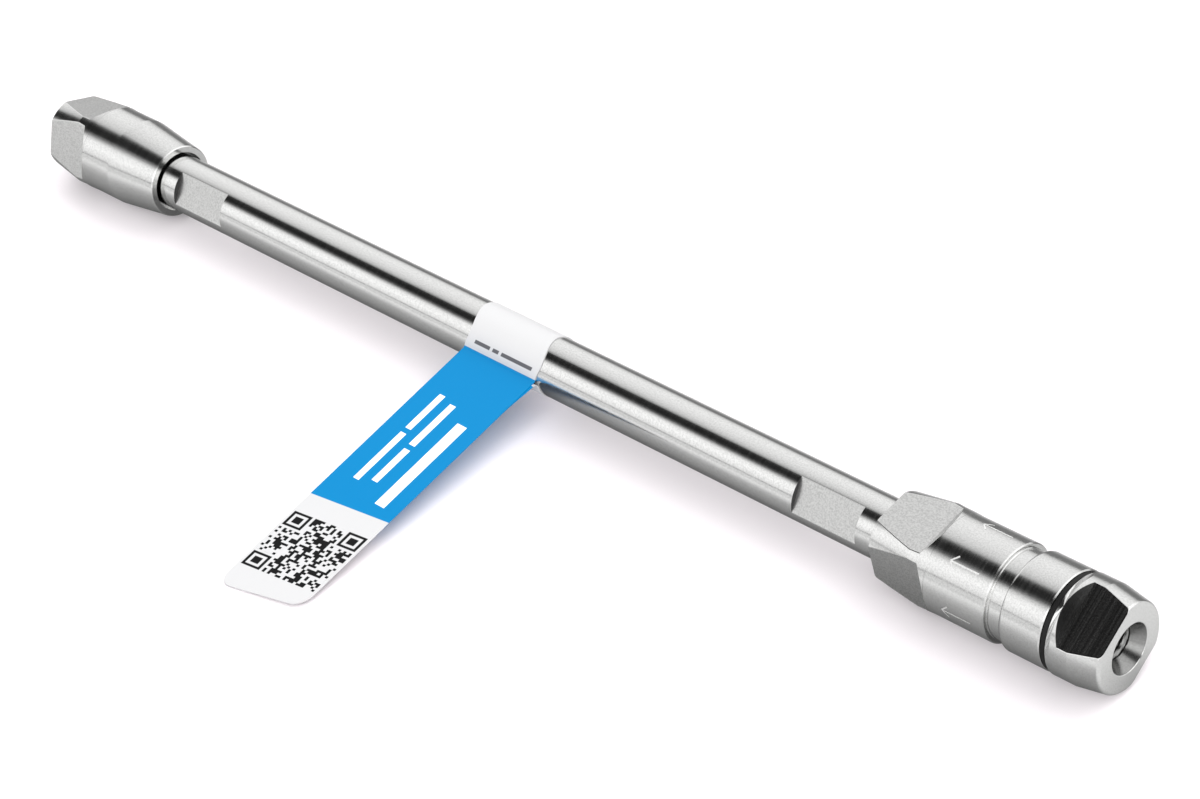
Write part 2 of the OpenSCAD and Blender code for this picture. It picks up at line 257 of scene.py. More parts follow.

# %% [markdown]
# ## Steel
# All the metal is austenitic stainless steel. A lathe leaves fine rings round the axis, which
# are too fine to see one by one but give the surface a grain, and a milling cutter leaves flat
# faces with a finer, duller bloom. Both are the same recipe: a bright metal, whose roughness
# and bump come from noise that is stretched along the tool's path. The real rings are about
# 0.05 mm apart. They are drawn coarser here, because finer ones would not show. Cut walls and
# bores see little of the studio, so their steel is painted darker, as shade.

# %% Steel finishes
RING_PITCH = 0.16        # mm between turning rings, as drawn
RING_STRETCH = 60.0      # 1/m, how fast a ring's depth changes across its run
RING_DEPTH = 0.0016      # mm, depth of the rings
GRAIN_SIZE = 0.22        # mm, size of the grain
GRAIN_DEPTH = 0.0022     # mm, depth of the grain


def steel(name, hex_code, roughness, ring_depth, grain_depth, spread=0.045, mottle=0.88):
    """Stainless steel with turning rings and a fine grain, of the depths given in mm. spread is
    how far the roughness wanders, and mottle how dark the grain's hollows are."""
    material, tree = new_material(name)
    place = add(tree, "ShaderNodeTexCoord").outputs["Object"]
    pitches = (1 / (RING_PITCH * MM), RING_STRETCH, RING_STRETCH)
    along = add(tree, "ShaderNodeVectorMath", {0: place, 1: pitches}, operation="MULTIPLY")
    rings = add(tree, "ShaderNodeTexNoise", {"Vector": along, "Scale": 1.0, "Detail": 3.0})
    grain = add(
        tree, "ShaderNodeTexNoise",
        {"Vector": place, "Scale": 1 / (GRAIN_SIZE * MM), "Detail": 4.0},
    )
    polish = add(
        tree, "ShaderNodeMapRange",
        {0: rings, 1: 0.3, 2: 0.7, 3: roughness - spread, 4: roughness + spread},
    )
    bright = colour(hex_code)
    dull = (*[c * mottle for c in bright[:3]], 1.0)
    share = add(tree, "ShaderNodeMapRange", {0: grain, 1: 0.36, 2: 0.6})
    tint = add(tree, "ShaderNodeMix", {0: share, 6: dull, 7: bright}, data_type="RGBA")
    grooves = add(
        tree, "ShaderNodeBump", {"Height": rings, "Strength": 1.0, "Distance": ring_depth * MM},
    )
    bloom = add(
        tree, "ShaderNodeBump",
        {"Height": grain, "Strength": 1.0, "Distance": grain_depth * MM, "Normal": grooves},
    )
    shader = add(tree, "ShaderNodeBsdfPrincipled", {
        "Base Color": tint, "Metallic": 1.0, "Roughness": polish, "Normal": bloom,
    })
    add(tree, "ShaderNodeOutputMaterial", {"Surface": shader})
    return material


turned_steel = steel("turned_stainless_steel", "#D9D9D8", 0.145, RING_DEPTH, GRAIN_DEPTH * 0.6)
milled_steel = steel("milled_stainless_steel", "#CFCFCE", 0.32, 0.0, GRAIN_DEPTH * 1.6, 0.04, 0.76)
drawn_steel = steel("drawn_stainless_tube", "#DADAD9", 0.135, RING_DEPTH * 0.5, GRAIN_DEPTH * 0.7)
# Painted shade: cut walls and bores wear darker steel than the rest of the metal.
shaded_wall_steel = steel("cut_wall_steel_painted_shade", "#4C4C4C", 0.42, 0.0, GRAIN_DEPTH, 0.05)
shaded_port_steel = steel("bore_steel_painted_shade", "#8C8C8B", 0.2, RING_DEPTH, GRAIN_DEPTH * 0.6)
cutter_steel = steel(
    "end_milled_stainless_steel", "#B9B9B8", 0.16, 0.0, GRAIN_DEPTH * 5.0, 0.05, 0.7,
)
steels = (turned_steel, milled_steel, drawn_steel, shaded_wall_steel, shaded_port_steel, cutter_steel)
print("steels:", ", ".join(finish.name for finish in steels))

# %% [markdown]
# ## Turning a piece on the lathe
# A turned piece with milled flats is a stack of rings. Each ring follows the circle of the
# lathe, except where a flat cuts it: there its points run straight across. Every ring has as
# many points as the next, so that plain quads join them and each edge between a flat and a
# round face is exact. A narrow bevel beside each flat catches the light, as a real edge does.

# %% Rings with flats
ARC_STEPS = 22           # points on each round stretch beside a flat
FLAT_STEPS = 20          # points across a flat
EDGE = 0.05              # mm, bevel beside a flat
FREE_SPAN = 36.0         # degrees that a flat would take where it doesn't cut


def station(x, r, flat=None, half=None, span=None, thread=None):
    """One ring of a turned piece: its place and radius in mm. flat is the distance of the milled
    faces from the axis, half their half width where a cutter limits it, span the half angle
    that they would take where they don't cut, and thread a rule for a screwed surface."""
    return {"x": x, "r": r, "flat": flat, "half": half, "span": span, "thread": thread}


def between(a, b, steps):
    """The rings from a to b, without b, spaced evenly."""
    rows = []
    for i in range(steps):
        t = i / steps
        rows.append({**a, "x": a["x"] + (b["x"] - a["x"]) * t, "r": a["r"] + (b["r"] - a["r"]) * t})
    return rows


def arc_rows(r, x, radius, a0, a1, steps, flat=None):
    """Rings round a rounded edge whose centre is at radius r and place x."""
    rows = []
    for i in range(steps + 1):
        a = math.radians(a0 + (a1 - a0) * i / steps)
        rows.append(station(x + radius * math.sin(a), r + radius * math.cos(a), flat))
    return rows


print("a rounded edge takes", len(arc_rows(5.0, 0.0, 0.5, 0, 90, 18)), "rings")

# %% [markdown]
# A flat shows in a ring as a straight run of points. Where a cutter limits its width, the run
# ends in a step up to the circle, and where no flat cuts, the same points stay on the circle.

# %% Points of one ring
def ring_points(row, count, turn):
    """The (y, z) points of a ring, and for each whether it lies on a flat."""
    r, flat, points = row["r"], row["flat"], []
    cut = flat is not None and flat < r
    if cut and row["half"] is not None and row["half"] < math.sqrt(r * r - flat * flat):
        width, edge_angle, across = row["half"], math.asin(row["half"] / r), row["half"]
    elif cut:
        width = math.sqrt(r * r - flat * flat)
        edge_angle = min(math.acos(flat / r) + EDGE / r, math.pi / count - 0.001)
        across = max(width - EDGE, 0.0)
    else:
        span = math.radians(FREE_SPAN if row["span"] is None else row["span"])
        edge_angle, across = span + EDGE / r * (span > 0), None
    for k in range(count):
        middle = math.radians(turn + k * 360 / count)
        start = -math.pi / count

        def on_circle(a):
            radius = r if row["thread"] is None else row["thread"](row["x"], middle + a, r)
            points.append(((-math.sin(middle + a) * radius, math.cos(middle + a) * radius), False))

        for i in range(ARC_STEPS + 1):
            on_circle(start + (-edge_angle - start) * i / ARC_STEPS)
        for i in range(FLAT_STEPS + 1):
            t = 2 * i / FLAT_STEPS - 1
            if across is None:
                on_circle(span * t)
                continue
            side, height = across * t, flat
            points.append(((
                -math.sin(middle) * height - math.cos(middle) * side,
                math.cos(middle) * height - math.sin(middle) * side,
            ), True))
        for i in range(ARC_STEPS):
            on_circle(edge_angle + (-start - edge_angle) * i / ARC_STEPS)
    return points


sample = ring_points(station(0.0, 6.0, 5.0), 4, 0)
print("a ring has", len(sample), "points,", sum(flat for _, flat in sample), "of them on flats")

# %% [markdown]
# Every piece ends the same way: edges sharper than a small angle stay crisp, the rest is smooth,
# and the piece rides on its body and stands in for the nodes that it replaces.

# %% From a mesh to a piece
CREASE_ANGLE = 6.5       # degrees between two faces, from which their edge is drawn sharp


def finish_mesh(name, mesh, materials, body, node_names):
    """Makes an object of the mesh, shades it and hands it to the frame."""
    mesh.shade_smooth()
    mesh.set_sharp_from_angle(angle=math.radians(CREASE_ANGLE))
    for material in materials:
        mesh.materials.append(material)
    piece = bpy.data.objects.new(name, mesh)
    bpy.context.scene.collection.objects.link(piece)
    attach(piece, body)
    if node_names:
        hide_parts(*node_names)
    print(name, len(mesh.vertices), "points", len(mesh.polygons), "faces")
    return piece


# %% [markdown]
# Quads join each ring to the next, and the last to the first, so the section is closed. A face
# between two rings takes the milled steel where it lies on a flat, the steel painted dark as shade
# on a cut wall at a flat's ends, and the bore's steel, painted darker as shade, inside a port.

# %% Turn a piece
WELD = 0.0005            # mm, points closer than this are one


def turned(name, rows, materials, body, node_names, count=4, turn=0.0):
    """Builds a turned piece from its rings, which run round its section and close on the first.
    materials are for round faces, flats, cut walls and bores, in that order. The later ones may
    be missing. count flats share the circle, and the first is turned from straight up."""
    rings = [ring_points(row, count, turn) for row in rows]
    mesh = bmesh.new()
    corners = [
        [mesh.verts.new((row["x"] * MM, y * MM, z * MM)) for (y, z), _ in ring]
        for row, ring in zip(rows, rings)
    ]
    for i, ring in enumerate(rings):
        following = (i + 1) % len(rings)
        for j in range(len(ring)):
            beside = (j + 1) % len(ring)
            around = ((i, j), (i, beside), (following, beside), (following, j))
            face = mesh.faces.new([corners[row][column] for row, column in around])
            milled = [rings[row][column][1] for row, column in around]
            standing = rows[i]["x"] == rows[following]["x"]
            if all(milled) and not standing and len(materials) > 1:
                face.material_index = 1
            cut_end = standing and (rows[i]["flat"] is None) != (rows[following]["flat"] is None)
            cut_side = rows[i]["half"] is not None and any(milled) and not all(milled)
            if len(materials) > 2 and (cut_end or cut_side):
                face.material_index = 2
            if len(materials) > 3 and max(rows[i]["r"], rows[following]["r"]) <= MOUTH_R + WELD:
                face.material_index = 3
    bmesh.ops.remove_doubles(mesh, verts=mesh.verts, dist=WELD * MM)
    bmesh.ops.dissolve_degenerate(mesh, dist=WELD * MM, edges=mesh.edges)
    bmesh.ops.recalc_face_normals(mesh, faces=mesh.faces)
    made = bpy.data.meshes.new(name)
    mesh.to_mesh(made)
    mesh.free()
    return finish_mesh(name, made, materials, body, node_names)


# %% [markdown]
# ## Measuring the frame
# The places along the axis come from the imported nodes, so that the steel follows the CAD model.

# %% Places along the axis
def x_range(node):
    """The least and the greatest x of a node, in mm."""
    low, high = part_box(node)
    return low.x / MM, high.x / MM


tube_end, tube_start = x_range("column_tube")
inlet_end, collar_face = x_range("inlet_nut")
outlet_end, outlet_mouth = x_range("outlet_nut")
ring_face, cap_shoulder = x_range("o_ring")
spigot_end, cap_face = x_range("guard_cap")
guard_end = x_range("guard_body")[0]
web_face = x_range("guard_outlet_washer")[0]
web_back = x_range("inlet_frit")[1]
last_frit = x_range("outlet_frit")[0]
cartridge_start = x_range("guard_inlet_washer")[0]
tube_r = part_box("column_tube")[1].z / MM
nut_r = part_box("inlet_nut")[1].y / MM
cap_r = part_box("guard_cap")[1].y / MM
print("tube radius", round(tube_r, 3), "nut radius", round(nut_r, 3), "cap radius", round(cap_r, 3))

# %% [markdown]
# ## The ports
# Each port is a countersink that leads to a fine thread, then a cone that the fitting's ferrule
# seals on and a small flow passage. A thread is a helix: the radius rises and falls as the
# surface is followed along the axis and round it, so a rule of x and angle is all it takes.

# %% Threads and ports
PORT_R = 2.0             # mm, crest of the port's thread
PORT_ROOT = 0.36         # mm, depth of that thread
PORT_PITCH = 0.794       # mm, 32 turns to the inch
MOUTH_R, MOUTH_L = 3.3, 2.4                      # mm, the countersink
FERRULE_L, POCKET_R, POCKET_L = 1.2, 0.8, 1.0    # mm, the ferrule's cone and the capillary's pocket
PASSAGE_R = 0.25         # mm, the flow passage
ROWS_PER_TURN = 12       # rings in each turn of a thread
RIDGE = 1.35             # above 1, it widens the flat crest and root of a thread


def ridge(x, a, pitch):
    """Height of a thread's flank from 0 at its root to 1 at its crest."""
    phase = (x / pitch - a / (2 * math.pi)) % 1.0
    return min(1.0, max(0.0, RIDGE * (1 - RIDGE * abs(2 * phase - 1))))


def port_rows(start, facing, thread_l):
    """The rings of a port from its passage out to its mouth. start is where its thread starts."""

    def thread(x, a, r):
        inward = (start - x) * facing
        fade = min(1.0, max(0.0, (thread_l - inward) / PORT_PITCH))
        return max(r, PORT_R + PORT_ROOT * (1 - ridge(x, a, PORT_PITCH)) * fade)

    def at(depth):
        return start - facing * depth

    steps = int(thread_l / PORT_PITCH * ROWS_PER_TURN)
    cone_steps = int(MOUTH_L / PORT_PITCH * ROWS_PER_TURN)
    bottom = thread_l + FERRULE_L
    rows = [
        station(at(bottom + POCKET_L), PASSAGE_R), station(at(bottom + POCKET_L), POCKET_R),
        station(at(bottom), POCKET_R), station(at(thread_l), PORT_R),
    ]
    rows += between(station(at(thread_l), PORT_R, thread=thread), station(at(0), PORT_R), steps)[1:]
    rows += between(
        station(at(0), PORT_R, thread=thread), station(at(-MOUTH_L), MOUTH_R), cone_steps,
    )
    rows += [station(at(-MOUTH_L + 0.06), MOUTH_R - 0.01), station(at(-MOUTH_L), MOUTH_R + 0.07)]
    return rows


print("a port 5.5 mm deep takes", len(port_rows(0.0, 1, 5.5)), "rings")


# %% [markdown]
# ## The guard cap
# The cap was turned with a gentle cone to its nose, then two flats were milled with the side of
# an end mill, which leaves them rounded at their inner end. Its spigot carries the fine thread
# that shows when the cap is unscrewed.

# %% Guard cap
CAP_FLAT = 9.53 / 2      # mm from the axis to a flat
CAP_FLAT_TURN = 23.2     # degrees from straight up
CUTTER_R = 10.0          # mm
CUT_START = cap_shoulder + 0.7                   # where the cutter's round end begins
CAP_STRAIGHT = cap_shoulder + 3.15               # where the cone begins
NOSE_R, NOSE_ROUND = 5.85, 0.5                   # mm, the nose and its round edge
BEVEL = 0.15             # mm, a turned edge
SPIGOT_R, SPIGOT_PITCH, SPIGOT_ROOT = 4.95, 0.75, 0.4     # mm, the spigot's thread
SPIGOT_RELIEF = 0.6      # mm, the plain neck between the thread and the shoulder
INLET_THREAD = 5.5       # mm
CUT_STEPS = 20           # rings along the cutter's round end


def cap_rows():
    """The cap's rings: port, nose, cone, flats, shoulder and threaded spigot."""
    nose = cap_face - NOSE_ROUND
    nose_slope = math.degrees(math.atan((cap_r - NOSE_R) / (nose - CAP_STRAIGHT)))
    rows = port_rows(0.0, 1, INLET_THREAD)
    rows += reversed(arc_rows(NOSE_R - NOSE_ROUND, nose, NOSE_ROUND, nose_slope, 90, 18, CAP_FLAT))
    rows += between(station(nose, NOSE_R, CAP_FLAT), station(CAP_STRAIGHT, cap_r), 16)[1:]
    side = math.sqrt(cap_r**2 - CAP_FLAT**2)
    full = math.asin(side / CUTTER_R)
    centre = CUT_START + CUTTER_R
    rows.append(station(CAP_STRAIGHT, cap_r, CAP_FLAT))
    for i in range(CUT_STEPS, -1, -1):
        t = full * i / CUT_STEPS
        rows.append(
            station(centre - CUTTER_R * math.cos(t), cap_r, CAP_FLAT, CUTTER_R * math.sin(t))
        )
    rows.append(station(CUT_START, cap_r, span=0.0))
    rows += [station(cap_shoulder + BEVEL, cap_r), station(cap_shoulder, cap_r - BEVEL)]
    rows += [station(cap_shoulder, SPIGOT_R - SPIGOT_ROOT)]

    def thread(x, a, r):
        return r - SPIGOT_ROOT * (1 - ridge(x, a, SPIGOT_PITCH))

    thread_end = cap_shoulder - SPIGOT_RELIEF
    turns = (thread_end - spigot_end - BEVEL) / SPIGOT_PITCH
    rows.append(station(thread_end, SPIGOT_R - SPIGOT_ROOT))
    first = station(thread_end, SPIGOT_R, thread=thread)
    last = station(spigot_end + BEVEL, SPIGOT_R)
    rows += between(first, last, int(turns * ROWS_PER_TURN))
    rows += [station(spigot_end, SPIGOT_R - SPIGOT_ROOT - BEVEL), station(spigot_end, PASSAGE_R)]
    return rows


turned(
    "guard_cap_steel", cap_rows(), [turned_steel, cutter_steel, shaded_wall_steel, shaded_port_steel], "cap",
    ["guard_cap"], 2, CAP_FLAT_TURN,
)

# %% [markdown]
# ## The inlet nut
# Each end nut swells as a cone from its small end, then falls to the barrel. Four flats are
# milled along the cone, and a cutter with a 45 degree chamfer lets them run out in the barrel.
# Both nuts share this end, so one function gives its rings.

# %% Inlet nut
SQUARE_FLAT = 5.0        # mm from the axis to a flat
SMALL_END_R, SWELL_R = 5.65, 6.55                # mm, the cone's radius at each end
CONE_L, FALL_L, SQUARE_L = 6.2, 3.2, 7.65        # mm, cone, fall to the barrel, full flats
RUN_OUT_L = 1.42         # mm, where the cutter's chamfer leaves the barrel
END_BEVEL = 0.08         # mm, the edge of the small end
NECK_R, NECK_L = 5.8, 2.0                        # mm, the neck beside the guard body
NECK_GROOVE = 0.10       # mm, depth of the groove at the neck's foot
RELIEF_R, RELIEF_L = 4.37, 2.4                   # mm, the mouth round the tube
GUARD_BORE_R, CAP_BORE_R, GUARD_SPIGOT_R = 3.8, 5.0, 4.75     # mm
CLEAR, TUBE_CLEAR = 0.05, 0.03                   # mm, round the guard's spigot and round the tube


def square_end(start):
    """The rings of a nut's end from its small face at start to the barrel."""
    top, foot = start + CONE_L, start + CONE_L + FALL_L

    def radius(x):
        rise = (x - start) / CONE_L if x < top else (foot - x) / FALL_L
        low = SMALL_END_R if x < top else nut_r
        return low + (SWELL_R - low) * rise

    cone, run_out = start + END_BEVEL, start + SQUARE_L
    rows = [station(start, SMALL_END_R - END_BEVEL, SQUARE_FLAT)]
    rows += between(station(cone, radius(cone), SQUARE_FLAT), station(top, SWELL_R), 24)
    rows += between(station(top, SWELL_R, SQUARE_FLAT), station(run_out, radius(run_out)), 5)
    for i in range(17):
        x = run_out + RUN_OUT_L * (1 - (1 - i / 16) ** 2)
        rows.append(station(x, radius(x), SQUARE_FLAT + x - run_out))
    return rows + [station(foot, nut_r)]


def inlet_nut_rows():
    """The inlet nut's rings: mouth, square end, barrel, neck, guard's bore and tube's bore."""
    neck = collar_face - NECK_L
    rows = [station(inlet_end, RELIEF_R)] + square_end(inlet_end)
    rows += [station(neck - BEVEL, nut_r), station(neck, nut_r - BEVEL)]
    outline = [
        (neck, NECK_R + 0.02), (neck + 0.10, NECK_R - NECK_GROOVE),
        (neck + 0.30, NECK_R - NECK_GROOVE), (neck + 0.36, NECK_R),
        (collar_face - 0.04, NECK_R), (collar_face, NECK_R - 0.04),
        (collar_face, GUARD_SPIGOT_R + CLEAR), (guard_end - CLEAR, GUARD_SPIGOT_R + CLEAR),
        (guard_end - CLEAR, GUARD_BORE_R), (web_face, GUARD_BORE_R),
        (web_face, PASSAGE_R), (web_back, PASSAGE_R),
        (web_back, tube_r + TUBE_CLEAR), (inlet_end + RELIEF_L, tube_r + TUBE_CLEAR),
        (inlet_end + RELIEF_L, RELIEF_R),
    ]
    return rows + [station(x, r) for x, r in outline]


turned(
    "inlet_nut_steel", inlet_nut_rows(), [turned_steel, milled_steel], "column", ["inlet_nut"],
    4, 0.0,
)

# %% [markdown]
# ## The guard body
# The guard body is a collar with a round back edge, on a spigot that screws into the inlet nut.
# It holds the guard cartridge. It was turned in one chucking, so plain rings are enough.

# %% Guard body
COLLAR_R, COLLAR_ROUND = 6.38, 0.6       # mm


def guard_body_rows():
    """The guard body's rings: spigot, collar, the cap's bore and the cartridge's bore."""
    spigot = [(guard_end, GUARD_BORE_R), (guard_end, GUARD_SPIGOT_R), (collar_face, GUARD_SPIGOT_R)]
    collar = [
        (ring_face - BEVEL, COLLAR_R), (ring_face, COLLAR_R - BEVEL), (ring_face, CAP_BORE_R),
        (cartridge_start, CAP_BORE_R), (cartridge_start, GUARD_BORE_R),
    ]
    back_edge = arc_rows(
        COLLAR_R - COLLAR_ROUND, collar_face + COLLAR_ROUND, COLLAR_ROUND, -90, 0, 18,
    )
    return [station(x, r) for x, r in spigot] + back_edge + [station(x, r) for x, r in collar]


turned(
    "guard_body_steel", guard_body_rows(), [turned_steel], "column", ["guard_body"],
)

# %% [markdown]
# ## The outlet nut
# The outlet nut tapers up from its mouth to the barrel and ends in the same square as the inlet
# nut. Its port faces the other way.

# %% Outlet nut
TAPER_L, RIM_R = 8.65, 5.3               # mm, the taper and the radius of its small end
OUTLET_TURN = 62.7       # degrees from straight up
OUTLET_THREAD = 7.0      # mm
outlet_port = outlet_end + MOUTH_L


def outlet_nut_rows():
    """The outlet nut's rings: port, square end, barrel, taper and the tube's bore."""
    rows = port_rows(outlet_port, -1, OUTLET_THREAD) + square_end(outlet_end)
    outline = [
        (outlet_mouth - TAPER_L, nut_r), (outlet_mouth - BEVEL, RIM_R),
        (outlet_mouth, RIM_R - BEVEL), (outlet_mouth, RELIEF_R),
        (outlet_mouth - RELIEF_L, RELIEF_R), (outlet_mouth - RELIEF_L, tube_r + TUBE_CLEAR),
        (last_frit, tube_r + TUBE_CLEAR), (last_frit, PASSAGE_R),
    ]
    return rows + [station(x, r) for x, r in outline]


turned(
    "outlet_nut_steel", outlet_nut_rows(), [turned_steel, milled_steel, shaded_wall_steel, shaded_port_steel],
    "column", ["outlet_nut"], 4, OUTLET_TURN,
)

# %% [markdown]
# ## The tube
# The tube is plain drawn stock with a pair of flats near each end to hold it by. The flats are
# milled with a square cutter, so they start and end in a step.

# %% Tube
TUBE_FLAT, TUBE_FLAT_L, TUBE_FLAT_GAP = 3.2, 10.0, 3.4    # mm, from axis, length, distance to nut
TUBE_FLAT_TURN = 51.0    # degrees from straight up
BORE_R = 2.3             # mm


def tube_rows():
    """The tube's rings: outside with its flats from the outlet's end on, then the bore."""
    rows = [station(tube_end, BORE_R), station(tube_end, tube_r)]
    for x0 in (outlet_mouth + TUBE_FLAT_GAP, inlet_end - TUBE_FLAT_GAP - TUBE_FLAT_L):
        x1 = x0 + TUBE_FLAT_L
        rows += [station(x0, tube_r), station(x0, tube_r, TUBE_FLAT)]
        rows += [station(x1, tube_r, TUBE_FLAT), station(x1, tube_r)]
    rows += [station(tube_start, tube_r), station(tube_start, BORE_R)]
    return rows


turned(
    "column_tube_steel", tube_rows(), [drawn_steel, milled_steel, shaded_wall_steel], "column",
    ["column_tube"], 2, TUBE_FLAT_TURN,
)

# %% [markdown]
# ## The sealing ring
# A moulded rubber ring fills the gap between the guard body and the cap. Its outer edges are
# round, because it was an O-ring before the cap squeezed it.

# %% Sealing ring
RING_R, RING_ROUND = 6.25, 0.3           # mm
RUBBER_GRAIN = 0.3       # mm

rubber, tree = new_material("moulded_nitrile_rubber")
speckle = add(
    tree, "ShaderNodeTexNoise",
    {
        "Vector": add(tree, "ShaderNodeTexCoord").outputs["Object"],
        "Scale": 1 / (RUBBER_GRAIN * MM), "Detail": 3.0,
    },
)
sheen = add(tree, "ShaderNodeMapRange", {0: speckle, 3: 0.42, 4: 0.6})
bump = add(tree, "ShaderNodeBump", {"Height": speckle, "Strength": 1.0, "Distance": 0.002 * MM})
shader = add(
    tree, "ShaderNodeBsdfPrincipled",
    {
        "Base Color": colour("#090909"), "Roughness": sheen, "Normal": bump,
        "Specular IOR Level": 0.3,
    },
)
add(tree, "ShaderNodeOutputMaterial", {"Surface": shader})

ring_rows = [station(ring_face, CAP_BORE_R)]
ring_rows += arc_rows(RING_R - RING_ROUND, ring_face + RING_ROUND, RING_ROUND, -90, 0, 16)
ring_rows += arc_rows(RING_R - RING_ROUND, cap_shoulder - RING_ROUND, RING_ROUND, 0, 90, 16)
ring_rows += [station(cap_shoulder, CAP_BORE_R)]
turned("sealing_ring_rubber", ring_rows, [rubber], "sealing_ring", ["o_ring"])

# %% [markdown]
# ## The label
# The label is one strip of printed film. It is wrapped round the tube a little askew, and its
# two ends are stuck together as a flag that sinks to the floor. A sheet is easiest to build from
# the line that its middle follows, seen along the tube: out along the flag, through the crease,
# over the tube, and back. Every column of points crosses the strip at one place of its width,
# so the slanted end and the round corners only shift where each column starts.

# %% The line that the film follows
FILM = 0.12                              # mm, thickness
FLAG_W, FLAG_END = 13.1, 46.5            # mm, the strip's width and how far the flag reaches
FLAG_SLANT, CORNER_R = 12.6, 2.0         # degrees that the flag's end is cut askew, mm
LEAN = 0.112                             # how far the flag drifts sideways, mm for each mm outwards
ROOT_Y, ROOT_Z = 4.4, 0.76               # mm, where the flag leaves the tube
CREASE_R, LIFT_R = 0.45, 0.6             # mm, the folds above and below the flag's root
# Share of the way round the tube, and where the middle of the strip is there, in mm
STRIP_LINE = [(0.0, -95.25), (0.12, -94.5), (0.32, -95.5), (1.0, -94.8)]
LEAF_STEPS, CREASE_STEPS, WRAP_STEPS, LIFT_STEPS = 60, 8, 96, 6    # points along each stretch
ground = cad_box[0].z / MM
reach = FLAG_END + FLAG_W / 2 * math.tan(math.radians(FLAG_SLANT))


def flag_height(y):
    """Height of the flag's upper face, y mm out from the axis."""
    u = (y - ROOT_Y) / (reach - ROOT_Y)
    return ROOT_Z - (ROOT_Z - ground - 2 * FILM) * u


def round_arc(centre, radius, a0, a1, steps):
    """Points round a centre in (y, z), from angle a0 to a1 in degrees from the y axis."""
    angles = [math.radians(a0 + (a1 - a0) * i / steps) for i in range(steps + 1)]
    return [(centre[0] + radius * math.cos(a), centre[1] + radius * math.sin(a)) for a in angles]


def film_path():
    """Points of the film's middle, from the end of the upper leaf to the end of the lower one."""
    wrap_r = tube_r + FILM / 2 + 0.01
    upper = flag_height(ROOT_Y) - FILM / 2
    lower = upper - FILM
    crease_z, lift_z = upper + CREASE_R, lower - LIFT_R
    crease_y = -math.sqrt((wrap_r + CREASE_R) ** 2 - crease_z**2)
    lift_y = -math.sqrt((wrap_r + LIFT_R) ** 2 - lift_z**2)
    crease_a = math.degrees(math.atan2(-crease_z, -crease_y))
    lift_a = math.degrees(math.atan2(-lift_z, -lift_y))
    shares = [i / LEAF_STEPS for i in range(LEAF_STEPS, 0, -1)]
    leaf = [-crease_y + (FLAG_END + crease_y) * share for share in shares]
    points = [(-y, flag_height(y) - FILM / 2) for y in leaf]
    points += round_arc((crease_y, crease_z), CREASE_R, -90, crease_a, CREASE_STEPS)
    points += round_arc((0, 0), wrap_r, 180 + crease_a, lift_a - 180, WRAP_STEPS)[1:]
    points += round_arc((lift_y, lift_z), LIFT_R, lift_a, 90, LIFT_STEPS)[1:]
    points += [(-y, flag_height(y) - FILM * 1.5) for y in reversed(leaf) if y > 0.1 - lift_y]
    return points


path = film_path()
lengths = [0.0]
for a, b in zip(path, path[1:]):
    lengths.append(lengths[-1] + math.dist(a, b))
# Places along the strip in mm: where the upper leaf ends and where the lower leaf starts
crease_v = lengths[LEAF_STEPS]
back_v = lengths[LEAF_STEPS + CREASE_STEPS + WRAP_STEPS]
print("strip", *(round(v, 1) for v in (lengths[-1], crease_v, back_v)), "mm: end and both folds")

# %% [markdown]
# The print follows the strip, so it needs coordinates that are glued to the film. A UV layer in
# real millimetres does that: u runs across the strip and v along it from the end of the flag.
# The strip wasn't wrapped quite square, so its middle wanders along the tube.

# %% Where the strip runs
FOLD_DRIFT, FOLD_L = 0.4, 6.0            # mm, the lower leaf's shift at the fold, gone after FOLD_L


def soft_step(t):
    """0 below 0, 1 above 1, and a smooth rise between them."""
    t = min(1.0, max(0.0, t))
    return t * t * (3 - 2 * t)


def strip_middle(v):
    """Where the middle of the strip lies along the tube at v."""
    if v < crease_v or v > back_v:
        outwards = crease_v - v if v < crease_v else v - back_v
        drift = FOLD_DRIFT * (1 - soft_step(outwards / FOLD_L)) if v > back_v else 0.0
        return STRIP_LINE[0][1] - LEAN * outwards + drift
    share = (v - crease_v) / (back_v - crease_v)
    for (t0, x0), (t1, x1) in zip(STRIP_LINE, STRIP_LINE[1:]):
        if share <= t1:
            return x0 + (x1 - x0) * soft_step((share - t0) / (t1 - t0))
    return STRIP_LINE[-1][1]


print("middle of the strip at the fold", strip_middle(crease_v), "and the end", strip_middle(0.0))

# %% [markdown]
# The strip is built as one open sheet of quads and then given its thickness, so that both faces
# of each leaf are there and its edge can be seen.

